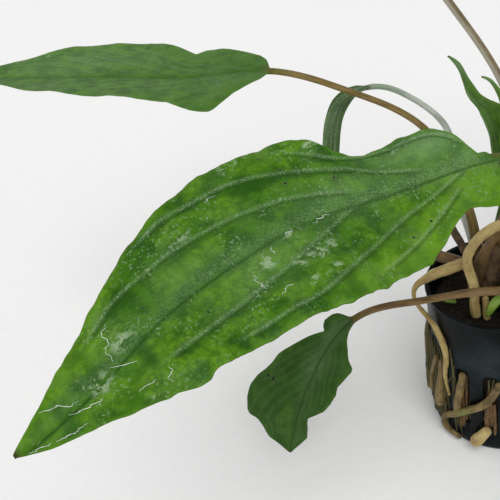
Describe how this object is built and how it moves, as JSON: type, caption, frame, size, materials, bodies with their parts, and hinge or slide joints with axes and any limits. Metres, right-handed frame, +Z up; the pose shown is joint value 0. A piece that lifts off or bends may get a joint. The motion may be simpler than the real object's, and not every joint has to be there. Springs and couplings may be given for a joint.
{
  "type": "cryptocoryne plant in a slotted growing pot",
  "caption": "Aquarium plant with long arching green leaves on thin stalks, rooted in fibrous medium in a slotted net pot.",
  "frame": {"origin": "centre of the flat underside of the pot, on the ground", "axes": "+Z up along the pot's axis, -Y towards the side seen in the picture, -X to the picture's left"},
  "size_m": [0.3334, 0.2782, 0.1909],
  "materials": {
    "pot_plastic": "blue-black moulded plastic, wet satin sheen with scuffs",
    "medium_fibre": "wet dark brown fibrous growing medium",
    "rhizome_brown": "ringed brown rootstock and old brown leaf bases with fibrous sheaths",
    "leaf_bright": "wet glossy bright green leaf, grey-green midrib, quilted surface",
    "leaf_deep": "satin mid-green leaf with a darker midrib band",
    "leaf_dark": "matt dark green leaf with greyer midrib",
    "leaf_pale": "pale grey-green narrow leaf and stalk",
    "leaf_stalk": "brown to olive leaf stalk with fine lengthwise streaks",
    "root_tan": "matt tan root with root hairs",
    "shoot_green": "fresh yellow-green shoot"
  },
  "bodies": {
    "root": {"pot": "pot_plastic", "growing_medium": "medium_fibre", "rhizome": "rhizome_brown", "leaf_front_large": "leaf_bright", "leaf_left_long": "leaf_deep", "leaf_low_small": "leaf_dark", "leaf_narrow_folded": "leaf_pale", "leaf_young_curled": "leaf_bright", "leaf_tall_left": "leaf_deep", "leaf_front_right": "leaf_bright", "leaf_right_long": "leaf_deep", "leaf_back_right": "leaf_deep", "leaf_tall_right": "leaf_bright", "leaf_low_right": "leaf_dark", "leaf_back_low": "leaf_dark", "root_crown_arch": "root_tan", "root_rim_left": "root_tan", "root_brown_left": "root_tan", "root_stub_front": "root_tan", "root_low_front": "root_tan", "root_end_front": "root_tan", "root_slot_left": "root_tan", "root_bulge_left": "root_tan", "root_slot_first": "root_tan", "root_thin_left": "root_tan", "root_slot_right": "root_tan", "root_slot_back": "root_tan", "root_back_right": "root_tan", "old_stalk_front": "rhizome_brown", "old_stalk_left": "rhizome_brown", "shoot_front": "shoot_green", "shoot_left": "shoot_green"}
  },
  "joints": []
}
